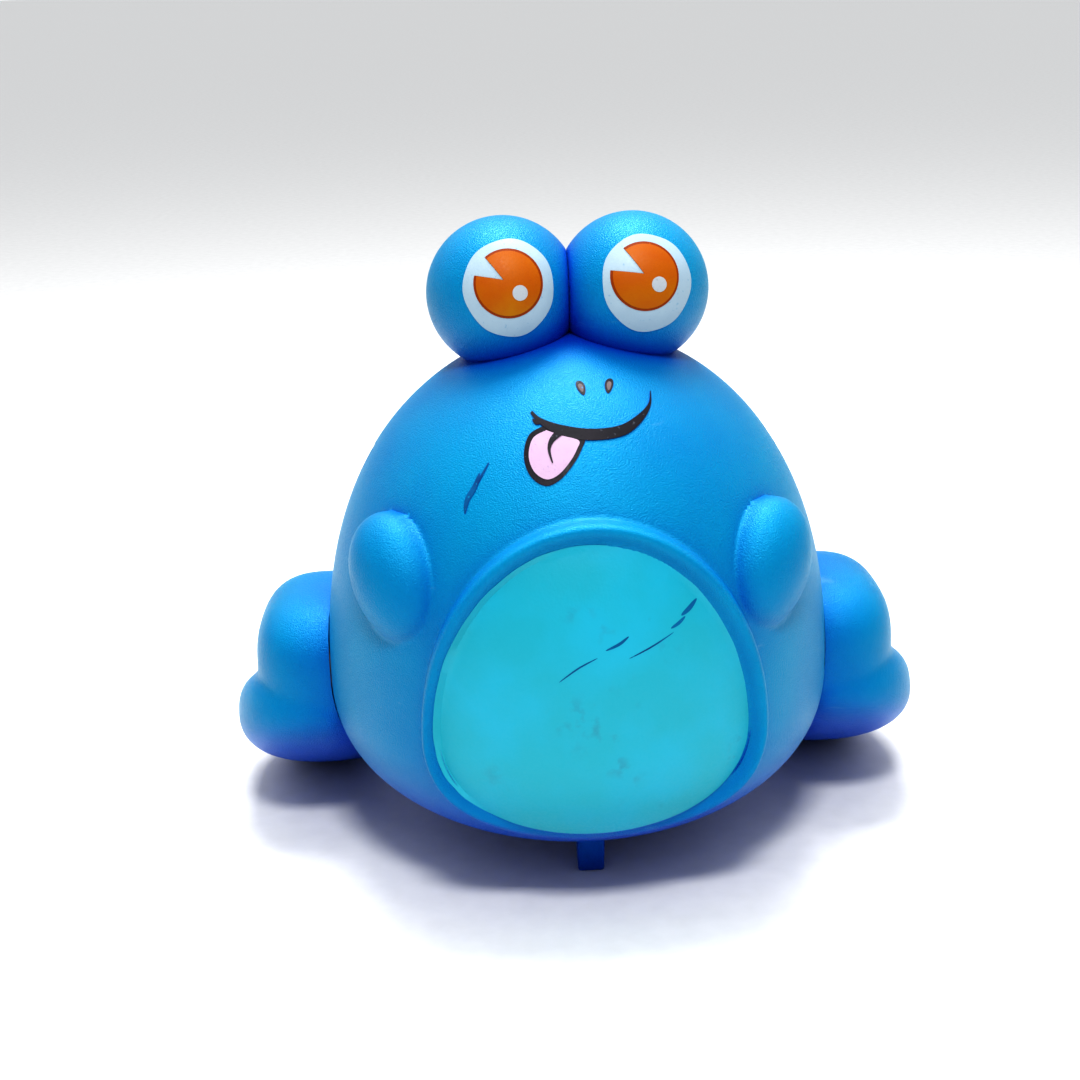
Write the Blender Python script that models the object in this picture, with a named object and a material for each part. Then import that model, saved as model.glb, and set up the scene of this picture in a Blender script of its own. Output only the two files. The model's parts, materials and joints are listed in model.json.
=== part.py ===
"""Plastic wind-up jumping frog: two-part egg body, plug-in eyes, kicking legs and clockwork.

Body frame: X to the frog's left-hand side as it is seen from the front, -Y to its front,
+Z up, floor at Z = 0. Solids are shaped in millimetres, and finish() scales them to metres.
"""
import math

import bmesh
import bpy
from mathutils import Matrix, Vector

MM = 0.001
GAP = 0.3
WELD = 0.004
BODY_AXIS_Y = -2.43

# Egg-shaped body: half-width, half-depth, and heights above and below the widest level.
EGG_X = 20.4
EGG_Y = 19.5
EGG_LEVEL = 15.0
EGG_UP = 27.85
EGG_DOWN = 13.2
EGG_POWER_UP = 2.35
EGG_POWER_DOWN = 2.25
WALL = 1.6
SPLIT_HALF_GAP = 0.15

# Eyes: two balls that meet on the centre plane, each on a flanged stem.
EYE_RADIUS = 5.95
EYE_X = 5.05
EYE_Z = 45.85
EYE_CUP_WALL = 1.3
STEM_RADIUS = 1.6

# Raised rim round the belly, arms and front peg.
RIM_HALF_WIDTH = 12.0
RIM_TOP_Z = 31.3
RIM_WIDE_Z = 16.5
RIM_BOTTOM_Z = 5.6
RIM_RADIUS = 1.0
ARM_CENTRE = (14.5, 26.4)
ARM_SIZE = (3.0, 3.0, 4.7)
ARM_LEAN = math.radians(28)
PEG_Y = -8.0
PEG_WIDTH = 2.1
PEG_DEPTH = 3.0

# Legs on one cross shaft.
SHAFT_Z = 15.0
SHAFT_RADIUS = 1.2
SHAFT_END_X = 24.0
LEG_CLEARANCE = 1.0
HAUNCH_CENTRE = (20.9, 5.3, 13.3)
HAUNCH_SIZE = (6.3, 8.6, 7.4)
FOOT_CENTRE = (22.5, 10.3, 7.2)
FOOT_SIZE = (7.0, 12.0, 4.5)
FOOT_TILT = math.radians(29)

# Clockwork: arbors along Y, each at (x, z).
WINDING_ARBOR = (0.0, 28.5)
SECOND_ARBOR = (-5.96, 23.35)
KICK_ARBOR = (0.0, 20.4)
GEAR_MODULE = 0.35
GREAT_TEETH = 36
SECOND_PINION_TEETH = 9
SECOND_TEETH = 30
KICK_PINION_TEETH = 8
RATCHET_TEETH = 12
ARBOR_RADIUS = 1.0
THIN_ARBOR_RADIUS = 0.6
FRONT_PLATE_Y = (5.0, 5.7)
SECOND_PLANE_Y = (6.1, 7.1)
GREAT_PLANE_Y = (7.5, 8.5)
RATCHET_Y = (8.8, 9.5)
MAINSPRING_Y = (9.8, 11.5)
REAR_PLATE_Y = (11.9, 12.6)
PILLAR_SPOTS = ((-7.1, 30.4), (7.1, 30.4), (-8.2, 14.0), (8.2, 14.0))
PILLAR_RADIUS = 0.6
PILLAR_END_RADIUS = 0.35

# Case screws: (x, z, depth of the head's seat).
SCREW_SPOTS = ((-12.5, 30.0, 9.4), (12.5, 30.0, 9.4), (0.0, 6.4, 12.0))
BOSS_RADIUS = 2.0
SCREW_RADIUS = 0.9
SCREW_HEAD_RADIUS = 1.6

# Winding knob behind the body.
KNOB_RADIUS = 5.2
KNOB_Y = (18.9, 24.3)
KNOB_FLUTES = 10


# ---------------------------------------------------------------- helpers

def clear_scene():
    for item in list(bpy.data.objects):
        bpy.data.objects.remove(item, do_unlink=True)


def make_material(name, colour, roughness, metallic=0.0):
    material = bpy.data.materials.new(name)
    material.use_nodes = True
    shader = material.node_tree.nodes["Principled BSDF"]
    shader.inputs["Base Color"].default_value = (*colour, 1.0)
    shader.inputs["Roughness"].default_value = roughness
    shader.inputs["Metallic"].default_value = metallic
    return material


def solid(name, points, faces):
    """Make an object from points in millimetres, with its faces turned outward."""
    mesh = bpy.data.meshes.new(name)
    mesh.from_pydata([Vector(point) for point in points], [], faces)
    mesh.validate()
    item = bpy.data.objects.new(name, mesh)
    bpy.context.scene.collection.objects.link(item)
    if signed_volume(mesh) < 0:
        mesh.flip_normals()
    return item


def signed_volume(mesh):
    mesh.calc_loop_triangles()
    total = 0.0
    for triangle in mesh.loop_triangles:
        a, b, c = (mesh.vertices[index].co for index in triangle.vertices)
        total += a.dot(b.cross(c))
    return total / 6


def boolean(target, tool, operation):
    """Join the tool to the target, or cut it away, and discard the tool."""
    modifier = target.modifiers.new("shape", "BOOLEAN")
    modifier.operation = operation
    modifier.solver = "EXACT"
    modifier.object = tool
    depsgraph = bpy.context.evaluated_depsgraph_get()
    result = bpy.data.meshes.new_from_object(target.evaluated_get(depsgraph))
    target.modifiers.remove(modifier)
    target.data = result
    close_slivers(result)
    bpy.data.objects.remove(tool, do_unlink=True)


def close_slivers(mesh):
    """Merge points nearer than the weld distance, which a cut can leave along its edge."""
    bm = bmesh.new()
    bm.from_mesh(mesh)
    bmesh.ops.remove_doubles(bm, verts=bm.verts, dist=WELD)
    bmesh.ops.dissolve_degenerate(bm, edges=bm.edges, dist=WELD)
    bm.to_mesh(mesh)
    bm.free()


def cut(target, *tools):
    for tool in tools:
        boolean(target, tool, "DIFFERENCE")


def join(target, *tools):
    for tool in tools:
        boolean(target, tool, "UNION")


def keep(target, tool):
    boolean(target, tool, "INTERSECT")


def loft(name, rings, closed=False):
    """Skin a row of equal rings of points, with flat caps or back to its own start."""
    count = len(rings[0])
    points = [point for ring in rings for point in ring]
    faces = []
    spans = len(rings) if closed else len(rings) - 1
    for row in range(spans):
        low = row * count
        high = (row + 1) % len(rings) * count
        for side in range(count):
            after = (side + 1) % count
            faces.append((low + side, low + after, high + after, high + side))
    if not closed:
        faces.append(tuple(reversed(range(count))))
        faces.append(tuple(range((len(rings) - 1) * count, len(rings) * count)))
    return solid(name, points, faces)


def circle(radius, sides, phase=0.0):
    step = 2 * math.pi / sides
    return [(radius * math.cos(phase + step * k), radius * math.sin(phase + step * k))
            for k in range(sides)]


def plate_y(name, outline, low, high, centre=(0.0, 0.0)):
    """Extrude an (x, z) outline along Y."""
    rings = [[(centre[0] + x, y, centre[1] + z) for x, z in outline] for y in (low, high)]
    return loft(name, rings)


def rod_y(name, radius, low, high, centre, sides=12):
    return plate_y(name, circle(radius, sides), low, high, centre)


def turned_y(name, profile, centre, sides=12):
    """Turn a solid about a Y axis from (y, radius) stations."""
    rings = []
    for y, radius in profile:
        rings.append([(centre[0] + x, y, centre[1] + z) for x, z in circle(radius, sides)])
    return loft(name, rings)


def rod_x(name, radius, low, high, y, z, sides=16):
    rings = [[(x, y + u, z + v) for u, v in circle(radius, sides)] for x in (low, high)]
    return loft(name, rings)


def block(name, low, high):
    xs, ys, zs = zip(low, high)
    corners = [(xs[0], ys[0]), (xs[1], ys[0]), (xs[1], ys[1]), (xs[0], ys[1])]
    rings = [[(x, y, z) for x, y in corners] for z in zs]
    return loft(name, rings)


def rounded(name, centre, size, power, sides, rows):
    """A closed round form: power 2 is an ellipsoid, more is squarer."""
    def bulge(value):
        return math.copysign(abs(value) ** (2 / power), value)

    rings = []
    for row in range(rows + 1):
        slope = math.pi * (row / rows - 0.5)
        spread = bulge(max(math.cos(slope), 0.02))
        height = centre[2] + size[2] * bulge(math.sin(slope))
        ring = []
        for u, v in circle(1.0, sides):
            x = centre[0] + size[0] * spread * bulge(u)
            y = centre[1] + size[1] * spread * bulge(v)
            ring.append((x, y, height))
        rings.append(ring)
    return loft(name, rings)


def tube(name, path, radius, sides, closed=False):
    """A round tube that follows a path, with each ring square to the path."""
    rings = []
    count = len(path)
    for index, point in enumerate(path):
        ahead = path[(index + 1) % count] if closed else path[min(index + 1, count - 1)]
        behind = path[index - 1] if closed else path[max(index - 1, 0)]
        along = (Vector(ahead) - Vector(behind)).normalized()
        side = along.orthogonal() if abs(along.y) > 0.99 else along.cross(Vector((0, 1, 0)))
        side.normalize()
        up = along.cross(side)
        rings.append([tuple(Vector(point) + side * u + up * v) for u, v in circle(radius, sides)])
    return loft(name, rings, closed)


def finish(item, name, material, pivot, parent):
    """Name a sub-part, scale it to metres, and give it its material and its pivot as origin."""
    item.name = name
    item.data.name = name
    item.data.transform(Matrix.Scale(MM, 4) @ Matrix.Translation(Vector(pivot) * -1))
    item.data.materials.clear()
    item.data.materials.append(material)
    item.data.shade_smooth()
    item.data.set_sharp_from_angle(angle=math.radians(35))
    item.parent = parent
    item.location = (0, 0, 0)


def pivot_empty(name, location, parent=None):
    empty = bpy.data.objects.new(name, None)
    bpy.context.scene.collection.objects.link(empty)
    empty.location = Vector(location) * MM
    empty.parent = parent
    return empty


# ---------------------------------------------------------------- body shells

def egg(name, grow=0.0, sides=36, rows=14):
    """The body's outer form, or one grown or shrunk evenly."""
    rings = []
    for row in range(rows + 1):
        slope = math.pi * (row / rows - 0.5)
        spread = max(math.cos(slope), 0.02)
        power = EGG_POWER_UP if slope > 0 else EGG_POWER_DOWN
        reach = (EGG_UP if slope > 0 else EGG_DOWN) + grow
        rise = math.copysign(abs(math.sin(slope)) ** (2 / power), slope)
        ring = []
        for u, v in circle(1.0, sides, math.pi / sides):
            ring.append(((EGG_X + grow) * spread * u, (EGG_Y + grow) * spread * v,
                         EGG_LEVEL + reach * rise))
        rings.append(ring)
    return loft(name, rings)


def egg_front_y(x, z):
    """Depth of the body's front surface at a place seen from the front."""
    power = EGG_POWER_UP if z > EGG_LEVEL else EGG_POWER_DOWN
    reach = EGG_UP if z > EGG_LEVEL else EGG_DOWN
    rest = 1 - (x / EGG_X) ** 2 - (abs(z - EGG_LEVEL) / reach) ** power
    return -EGG_Y * math.sqrt(max(rest, 0.0))


def eye_sphere(name, side, radius):
    return rounded(name, (side * EYE_X, 0, EYE_Z), (radius, radius, radius), 2, 20, 10)


def hollow_egg():
    """The whole body wall, with cups that the eyes sit in and holes for their stems."""
    cavity = egg("cavity", -WALL, 24, 10)
    for side in (-1, 1):
        cut(cavity, eye_sphere("cup", side, EYE_RADIUS + GAP + EYE_CUP_WALL))
    body = egg("body_wall")
    cut(body, cavity)
    for side in (-1, 1):
        cut(body, eye_sphere("seat", side, EYE_RADIUS + GAP))
        stem = [[(side * EYE_X + u, v, z) for u, v in circle(STEM_RADIUS + GAP, 16)] for z in (36, 42)]
        cut(body, loft("stem_hole", stem))
    cut(body, rod_x("shaft_hole", 2.5, -22, 22, 0, SHAFT_Z))
    return body


def half_space(name, front):
    if front:
        return block(name, (-40, -60, -20), (40, -SPLIT_HALF_GAP, 80))
    return block(name, (-40, SPLIT_HALF_GAP, -20), (40, 60, 80))


def belly_rim():
    """A rounded bead that follows an egg-shaped loop over the belly."""
    path = []
    steps = 28
    for k in range(steps):
        turn = 2 * math.pi * k / steps
        x = RIM_HALF_WIDTH * math.cos(turn)
        rise = RIM_TOP_Z - RIM_WIDE_Z if math.sin(turn) > 0 else RIM_WIDE_Z - RIM_BOTTOM_Z
        z = RIM_WIDE_Z + rise * math.sin(turn)
        path.append((x, egg_front_y(x, z), z))
    return tube("belly_rim", path, RIM_RADIUS, 6, closed=True)


def arm(side):
    x, z = ARM_CENTRE
    item = rounded("arm", (0, 0, 0), ARM_SIZE, 2, 14, 8)
    item.data.transform(Matrix.Rotation(side * ARM_LEAN, 4, "Y"))
    item.data.transform(Matrix.Rotation(side * math.radians(38), 4, "Z"))
    place = Vector((side * x, egg_front_y(x, z) + 0.9, z))
    item.data.transform(Matrix.Translation(place))
    return item


def inside_body(item, grow=-WALL / 2):
    """Trim a post or boss so that it ends within the body's wall."""
    keep(item, egg("trim", grow, 24, 10))
    return item


def boss(spot, low, high):
    x, z, _ = spot
    return inside_body(rod_y("boss", BOSS_RADIUS, low, high, (x, z)))


def make_front_shell():
    shell = hollow_egg()
    keep(shell, half_space("front_half", True))
    join(shell, belly_rim(), arm(-1), arm(1))
    top = EGG_LEVEL - EGG_DOWN + 3
    join(shell, block("peg", (-PEG_WIDTH / 2, PEG_Y - PEG_DEPTH / 2, 0), (PEG_WIDTH / 2, PEG_Y + PEG_DEPTH / 2, top)))
    for spot in SCREW_SPOTS:
        x, z, _ = spot
        join(shell, boss(spot, -30, -SPLIT_HALF_GAP))
        cut(shell, rod_y("pilot", SCREW_RADIUS + GAP, -7, 1, (x, z)))
    for x, z in PILLAR_SPOTS[:2]:
        join(shell, inside_body(rod_y("post", 1.2, -30, FRONT_PLATE_Y[0] - GAP, (x, z), 10)))
    return shell


def make_rear_shell():
    shell = hollow_egg()
    keep(shell, half_space("rear_half", False))
    for spot in SCREW_SPOTS:
        x, z, seat = spot
        join(shell, boss(spot, SPLIT_HALF_GAP, 30))
        cut(shell, rod_y("screw_hole", SCREW_RADIUS + GAP, -1, 40, (x, z)))
        cut(shell, rod_y("head_hole", SCREW_HEAD_RADIUS + GAP, seat, 40, (x, z), 16))
    for x, z in PILLAR_SPOTS:
        join(shell, inside_body(rod_y("post", 1.0, REAR_PLATE_Y[1] + 0.4 + GAP, 30, (x, z), 10)))
    cut(shell, rod_y("arbor_hole", ARBOR_RADIUS + GAP, 10, 30, WINDING_ARBOR))
    return shell


def make_eye(side):
    """Ball, stem and flange in one moulding, cut flat where it meets the other eye."""
    start = math.asin(STEM_RADIUS / EYE_RADIUS)
    rows = 11
    sides = 20
    rings = []
    for z, radius in ((36.2, 2.6), (37.6, 2.6), (37.6, STEM_RADIUS)):
        rings.append([(side * EYE_X + u, v, z) for u, v in circle(radius, sides)])
    for row in range(rows + 1):
        angle = start + (math.pi - start) * row / rows
        radius = max(EYE_RADIUS * math.sin(angle), 0.1)
        height = EYE_Z - EYE_RADIUS * math.cos(angle)
        rings.append([(side * EYE_X + radius * u, radius * v, height) for u, v in circle(1.0, sides)])
    eye = loft("eye", rings)
    inner = (SPLIT_HALF_GAP, 30) if side > 0 else (-30, -SPLIT_HALF_GAP)
    keep(eye, block("side_half", (inner[0], -20, 20), (inner[1], 20, 80)))
    return eye


def make_case_screw(spot):
    x, z, seat = spot
    low = seat + GAP
    profile = ((-6.0, 0.3), (-5.0, SCREW_RADIUS), (low, SCREW_RADIUS),
               (low, SCREW_HEAD_RADIUS), (low + 1.0, SCREW_HEAD_RADIUS), (low + 1.3, 1.1))
    screw = turned_y("screw", profile, (x, z))
    for wide, tall in ((1.0, 0.2), (0.2, 1.0)):
        slot = block("slot", (x - wide, low + 0.7, z - tall), (x + wide, low + 3, z + tall))
        cut(screw, slot)
    return screw


# ---------------------------------------------------------------- legs

def make_leg(side):
    """A rounded haunch on a shoe-shaped foot that slopes down to a flat heel."""
    leg = rounded("haunch", (side * HAUNCH_CENTRE[0], *HAUNCH_CENTRE[1:]), HAUNCH_SIZE, 2.5, 20, 10)
    foot = rounded("foot", (0, 0, 0), FOOT_SIZE, 2.5, 20, 10)
    foot.data.transform(Matrix.Rotation(-FOOT_TILT, 4, "X"))
    place = Vector((side * FOOT_CENTRE[0], *FOOT_CENTRE[1:]))
    foot.data.transform(Matrix.Translation(place))
    join(leg, foot)
    cut(leg, egg("body_room", LEG_CLEARANCE, 24, 12))
    inner = 15.5
    outer = 30
    span = (inner, outer) if side > 0 else (-outer, -inner)
    keep(leg, block("side_room", (span[0], -20, 0), (span[1], 40, 40)))
    bore = (16, SHAFT_END_X + GAP) if side > 0 else (-SHAFT_END_X - GAP, -16)
    cut(leg, rod_x("bore", SHAFT_RADIUS + GAP, bore[0], bore[1], 0, SHAFT_Z))
    return leg


def make_leg_shaft():
    return rod_x("shaft", SHAFT_RADIUS, -SHAFT_END_X, SHAFT_END_X, 0, SHAFT_Z, 20)


def make_leg_lever():
    """Hub with a finger that reaches back under the cam."""
    lever = rod_x("hub", 2.6, -1.5, 1.5, 0, SHAFT_Z, 20)
    join(lever, block("finger", (-0.8, 1.8, SHAFT_Z - 0.6), (0.8, 4.5, SHAFT_Z + 1.0)))
    cut(lever, rod_x("bore", SHAFT_RADIUS + GAP, -3, 3, 0, SHAFT_Z))
    return lever


def make_bush(side):
    low, high = (17.2, 20.5) if side > 0 else (-20.5, -17.2)
    bush = rod_x("bush", 2.2, low, high, 0, SHAFT_Z, 20)
    cut(bush, rod_x("bore", SHAFT_RADIUS + GAP, low - 1, high + 1, 0, SHAFT_Z, 20))
    return bush


def make_return_spring():
    """Torsion spring round the shaft, with one tail that bears on the motor plate."""
    turns = 4
    steps = 8
    coil_radius = 2.1
    path = []
    for k in range(turns * steps + 1):
        angle = 2 * math.pi * k / steps
        x = 6.0 + 0.8 * k / steps
        path.append((x, coil_radius * math.cos(angle), SHAFT_Z + coil_radius * math.sin(angle)))
    last = path[-1]
    path.append((last[0], 3.2, SHAFT_Z + 1.6))
    path.append((last[0], 4.6, SHAFT_Z + 3.0))
    return tube("spring", path, 0.25, 5)


# ---------------------------------------------------------------- clockwork

def gear_outline(teeth, module, phase):
    """Plain tapered teeth, with a tooth centred on the phase angle."""
    pitch_radius = teeth * module / 2
    tip = pitch_radius + 0.9 * module
    root = pitch_radius - 1.1 * module
    step = 2 * math.pi / teeth
    outline = []
    for tooth in range(teeth):
        centre = phase + tooth * step
        for radius, share in ((root, -0.30), (tip, -0.11), (tip, 0.11), (root, 0.30)):
            angle = centre + share * step
            outline.append((radius * math.cos(angle), radius * math.sin(angle)))
    return outline


def mesh_angle(driver, driven):
    """Direction from one arbor to the other."""
    return math.atan2(driven[1] - driver[1], driven[0] - driver[0])


def make_great_wheel():
    phase = mesh_angle(WINDING_ARBOR, SECOND_ARBOR)
    wheel = plate_y("wheel", gear_outline(GREAT_TEETH, GEAR_MODULE, phase), *GREAT_PLANE_Y, WINDING_ARBOR)
    cut(wheel, rod_y("bore", ARBOR_RADIUS + GAP, 0, 20, WINDING_ARBOR))
    cut(wheel, rod_y("rivet_hole", 0.7, 0, 20, click_pivot()))
    return wheel


def make_second_arbor():
    """Steel arbor with its pinion leaves cut in one piece."""
    phase = mesh_angle(SECOND_ARBOR, WINDING_ARBOR) + math.pi / SECOND_PINION_TEETH
    arbor = rod_y("arbor", THIN_ARBOR_RADIUS, FRONT_PLATE_Y[0], REAR_PLATE_Y[1], SECOND_ARBOR)
    outline = gear_outline(SECOND_PINION_TEETH, GEAR_MODULE, phase)
    join(arbor, plate_y("pinion", outline, GREAT_PLANE_Y[0] - 0.05, GREAT_PLANE_Y[1] + 0.1, SECOND_ARBOR))
    return arbor


def make_second_wheel():
    phase = mesh_angle(SECOND_ARBOR, KICK_ARBOR)
    wheel = plate_y("wheel", gear_outline(SECOND_TEETH, GEAR_MODULE, phase), *SECOND_PLANE_Y, SECOND_ARBOR)
    cut(wheel, rod_y("bore", THIN_ARBOR_RADIUS + GAP, 0, 20, SECOND_ARBOR))
    for k in range(5):
        angle = 2 * math.pi * k / 5
        spot = (SECOND_ARBOR[0] + 3.0 * math.cos(angle), SECOND_ARBOR[1] + 3.0 * math.sin(angle))
        cut(wheel, rod_y("lightening_hole", 1.0, 0, 20, spot, 10))
    return wheel


def make_kick_arbor():
    phase = mesh_angle(KICK_ARBOR, SECOND_ARBOR) + math.pi / KICK_PINION_TEETH
    arbor = rod_y("arbor", THIN_ARBOR_RADIUS, 2.8, REAR_PLATE_Y[1], KICK_ARBOR)
    outline = gear_outline(KICK_PINION_TEETH, GEAR_MODULE, phase)
    join(arbor, plate_y("pinion", outline, SECOND_PLANE_Y[0] - 0.1, SECOND_PLANE_Y[1] + 0.1, KICK_ARBOR))
    return arbor


def make_kick_cam():
    """One-lobed cam that presses the finger down as it turns."""
    outline = []
    for k in range(32):
        angle = 2 * math.pi * k / 32
        lobe = max(math.cos(angle - math.pi / 4), 0.0) ** 6
        radius = 2.7 + 1.3 * lobe
        outline.append((radius * math.cos(angle), radius * math.sin(angle)))
    cam = plate_y("cam", outline, 3.0, 4.6, KICK_ARBOR)
    cut(cam, rod_y("bore", THIN_ARBOR_RADIUS + GAP, 0, 20, KICK_ARBOR))
    return cam


def make_winding_arbor():
    return rod_y("arbor", ARBOR_RADIUS, FRONT_PLATE_Y[0], KNOB_Y[1] - 1.5, WINDING_ARBOR)


def make_ratchet_wheel():
    """Saw teeth that let the knob turn one way past the click."""
    outline = []
    step = 2 * math.pi / RATCHET_TEETH
    for tooth in range(RATCHET_TEETH):
        angle = tooth * step
        outline.append((3.2 * math.cos(angle), 3.2 * math.sin(angle)))
        outline.append((2.5 * math.cos(angle + 0.04), 2.5 * math.sin(angle + 0.04)))
    wheel = plate_y("ratchet", outline, *RATCHET_Y, WINDING_ARBOR)
    cut(wheel, rod_y("bore", ARBOR_RADIUS + GAP, 0, 20, WINDING_ARBOR))
    return wheel


def click_pivot():
    return (WINDING_ARBOR[0] + 4.9, WINDING_ARBOR[1] + 0.6)


def make_click():
    """Small pawl on the great wheel, with its nose by the ratchet teeth."""
    x, z = click_pivot()
    outline = [(-1.25, 2.6), (-0.9, 3.4), (0.9, 0.9), (1.0, -0.7), (0.0, -1.0), (-0.95, -0.4)]
    click = plate_y("click", outline, *RATCHET_Y, (x, z))
    cut(click, rod_y("rivet_hole", 0.5 + 0.2, 0, 20, (x, z)))
    return click


def make_click_rivet():
    return rod_y("rivet", 0.4, GREAT_PLANE_Y[0] + 0.1, RATCHET_Y[1], click_pivot())


def make_mainspring():
    """Flat spiral strip from the arbor out to a pillar."""
    turns = 4.6
    steps = 12
    thick = 0.28
    inner = []
    outer = []
    for k in range(int(turns * steps) + 1):
        angle = math.pi / 3 + 2 * math.pi * k / steps
        radius = ARBOR_RADIUS + GAP + 0.2 + 1.02 * k / steps
        inner.append((radius * math.cos(angle), radius * math.sin(angle)))
        outer.append(((radius + thick) * math.cos(angle), (radius + thick) * math.sin(angle)))
    rings = []
    for (ix, iz), (ox, oz) in zip(inner, outer):
        ring = []
        for x, z, y in ((ix, iz, 0), (ox, oz, 0), (ox, oz, 1), (ix, iz, 1)):
            ring.append((WINDING_ARBOR[0] + x, MAINSPRING_Y[y], WINDING_ARBOR[1] + z))
        rings.append(ring)
    return loft("mainspring", rings)


def plate_outline():
    half = [(4.5, 32.3), (7.0, 31.6), (8.5, 30.0), (9.2, 27.0), (9.2, 13.2), (6.5, 11.8)]
    return half + [(-x, z) for x, z in reversed(half)]


def make_motor_plate(span):
    plate = plate_y("plate", plate_outline(), *span)
    for spot in PILLAR_SPOTS:
        cut(plate, rod_y("pillar_hole", PILLAR_END_RADIUS + GAP, 0, 20, spot))
    cut(plate, rod_y("arbor_hole", ARBOR_RADIUS + GAP, 0, 20, WINDING_ARBOR))
    for spot in (SECOND_ARBOR, KICK_ARBOR):
        cut(plate, rod_y("arbor_hole", THIN_ARBOR_RADIUS + GAP, 0, 20, spot))
    return plate


def make_pillar(spot):
    low = FRONT_PLATE_Y[1] + GAP
    high = REAR_PLATE_Y[0] - GAP
    end = PILLAR_END_RADIUS
    profile = ((FRONT_PLATE_Y[0] + 0.1, end), (low, end), (low, PILLAR_RADIUS), (high, PILLAR_RADIUS),
               (high, end), (REAR_PLATE_Y[1] + 0.2, end))
    return turned_y("pillar", profile, spot)


def make_winding_knob():
    """Fluted round knob with a collar towards the body."""
    def knob_ring(radius, y, depth):
        ring = []
        count = KNOB_FLUTES * 4
        for k in range(count):
            angle = 2 * math.pi * k / count
            local = radius - depth * (0.5 - 0.5 * math.cos(KNOB_FLUTES * angle))
            ring.append((WINDING_ARBOR[0] + local * math.cos(angle), y,
                         WINDING_ARBOR[1] + local * math.sin(angle)))
        return ring

    low, high = KNOB_Y
    rings = [knob_ring(3.0, low, 0), knob_ring(3.0, low + 1.4, 0), knob_ring(KNOB_RADIUS - 0.4, low + 1.5, 0.5),
             knob_ring(KNOB_RADIUS, low + 2.0, 0.6), knob_ring(KNOB_RADIUS, high - 0.7, 0.6),
             knob_ring(KNOB_RADIUS - 0.7, high, 0.4)]
    knob = loft("knob", rings)
    cut(knob, rod_y("bore", ARBOR_RADIUS + GAP, low - 1, high - 1.2, WINDING_ARBOR))
    return knob


# ---------------------------------------------------------------- assembly

def main():
    clear_scene()
    blue = make_material("blue_plastic", (0.01, 0.25, 0.72), 0.4)
    white = make_material("white_plastic", (0.8, 0.83, 0.85), 0.4)
    steel = make_material("steel", (0.55, 0.56, 0.58), 0.35, 1.0)
    brass = make_material("brass", (0.78, 0.6, 0.27), 0.35, 1.0)
    spring_steel = make_material("spring_steel", (0.4, 0.42, 0.46), 0.3, 1.0)

    frog = pivot_empty("frog_frame", (0, BODY_AXIS_Y, 0))
    no_pivot = (0, 0, 0)

    def fixed(item, name, material):
        finish(item, name, material, no_pivot, frog)

    fixed(make_front_shell(), "front_shell", blue)
    fixed(make_rear_shell(), "rear_shell", blue)
    fixed(make_eye(-1), "left_eye", blue)
    fixed(make_eye(1), "right_eye", blue)
    for index, spot in enumerate(SCREW_SPOTS, 1):
        fixed(make_case_screw(spot), f"case_screw_{index}", steel)
    fixed(make_bush(-1), "left_bush", brass)
    fixed(make_bush(1), "right_bush", brass)
    fixed(make_return_spring(), "return_spring", spring_steel)
    fixed(make_motor_plate(FRONT_PLATE_Y), "motor_front_plate", steel)
    fixed(make_motor_plate(REAR_PLATE_Y), "motor_rear_plate", steel)
    for index, spot in enumerate(PILLAR_SPOTS, 1):
        fixed(make_pillar(spot), f"motor_pillar_{index}", steel)
    fixed(make_mainspring(), "mainspring", spring_steel)

    def turning(pieces, axis_name, pivot):
        axis = pivot_empty(axis_name, pivot, frog)
        for item, name, material in pieces:
            finish(item, name, material, pivot, axis)

    legs = [(make_leg(-1), "left_leg", blue), (make_leg(1), "right_leg", blue),
            (make_leg_shaft(), "leg_shaft", steel), (make_leg_lever(), "leg_lever", white)]
    turning(legs, "leg_axis", (0, 0, SHAFT_Z))
    winding = [(make_winding_knob(), "winding_knob", white), (make_winding_arbor(), "winding_arbor", steel),
               (make_ratchet_wheel(), "ratchet_wheel", steel)]
    turning(winding, "winding_axis", (WINDING_ARBOR[0], 0, WINDING_ARBOR[1]))
    great = [(make_great_wheel(), "great_wheel", brass), (make_click(), "click", steel),
             (make_click_rivet(), "click_rivet", steel)]
    turning(great, "great_wheel_axis", (WINDING_ARBOR[0], 0, WINDING_ARBOR[1]))
    second = [(make_second_arbor(), "second_arbor", steel), (make_second_wheel(), "second_wheel", white)]
    turning(second, "second_axis", (SECOND_ARBOR[0], 0, SECOND_ARBOR[1]))
    kick = [(make_kick_arbor(), "kick_arbor", steel), (make_kick_cam(), "kick_cam", white)]
    turning(kick, "kick_axis", (KICK_ARBOR[0], 0, KICK_ARBOR[1]))


main()
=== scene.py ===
import json
import math

import bmesh
import bpy
from mathutils import Matrix, Vector


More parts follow.
